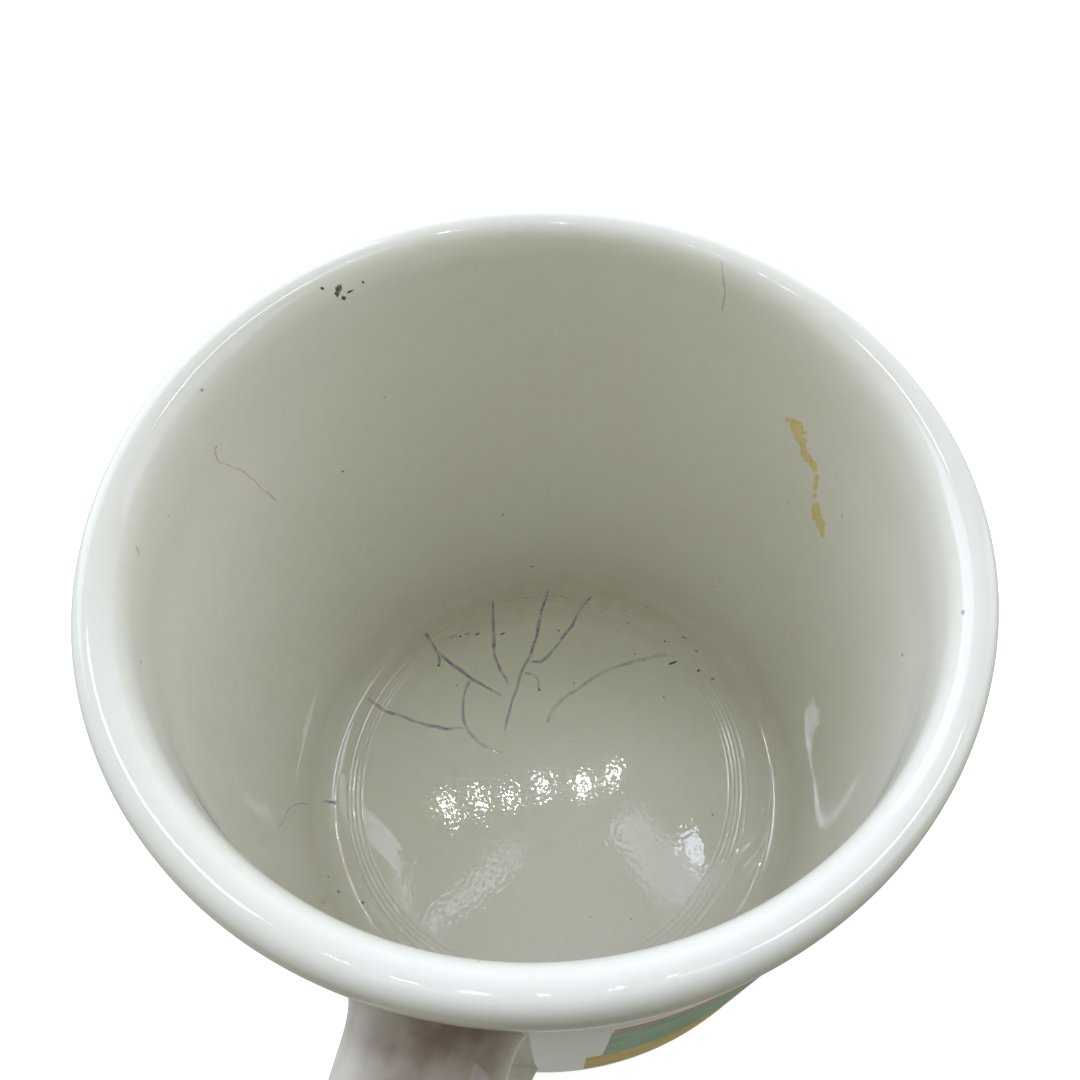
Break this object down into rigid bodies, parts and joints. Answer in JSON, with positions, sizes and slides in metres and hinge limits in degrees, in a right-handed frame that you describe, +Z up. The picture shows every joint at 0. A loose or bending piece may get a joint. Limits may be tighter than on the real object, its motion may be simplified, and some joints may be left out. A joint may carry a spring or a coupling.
{
  "type": "ceramic mug",
  "caption": "Glazed stoneware mug with a thick rolled lip, a strap handle and fired-on bands of colour; it holds a hot or cold drink.",
  "frame": {"origin": "on the table plane, at the middle of the whole footprint of cup and handle; the cup's own axis is the line x = 0, y = +14.775 mm", "axes": "+Z up out of the mouth, handle towards -Y, +X to the right when the handle faces the viewer"},
  "size_m": [0.0848, 0.1144, 0.087],
  "materials": {
    "glazed_stoneware": "glossy clear glaze over cream stoneware, faint orange peel",
    "joint_slip": "glossy clear glaze over sponged slip",
    "green_enamel": "flat printed enamel fired on to the glaze, satin gloss",
    "pink_enamel": "narrow printed enamel band fired on to the glaze, satin gloss",
    "ochre_enamel": "flat printed enamel fired on to the glaze, satin gloss"
  },
  "bodies": {
    "root": {"cup_body": "glazed_stoneware", "handle": "glazed_stoneware", "upper_slip_joint": "joint_slip", "lower_slip_joint": "joint_slip", "green_transfer": "green_enamel", "pink_transfer": "pink_enamel", "ochre_transfer": "ochre_enamel"}
  },
  "joints": []
}
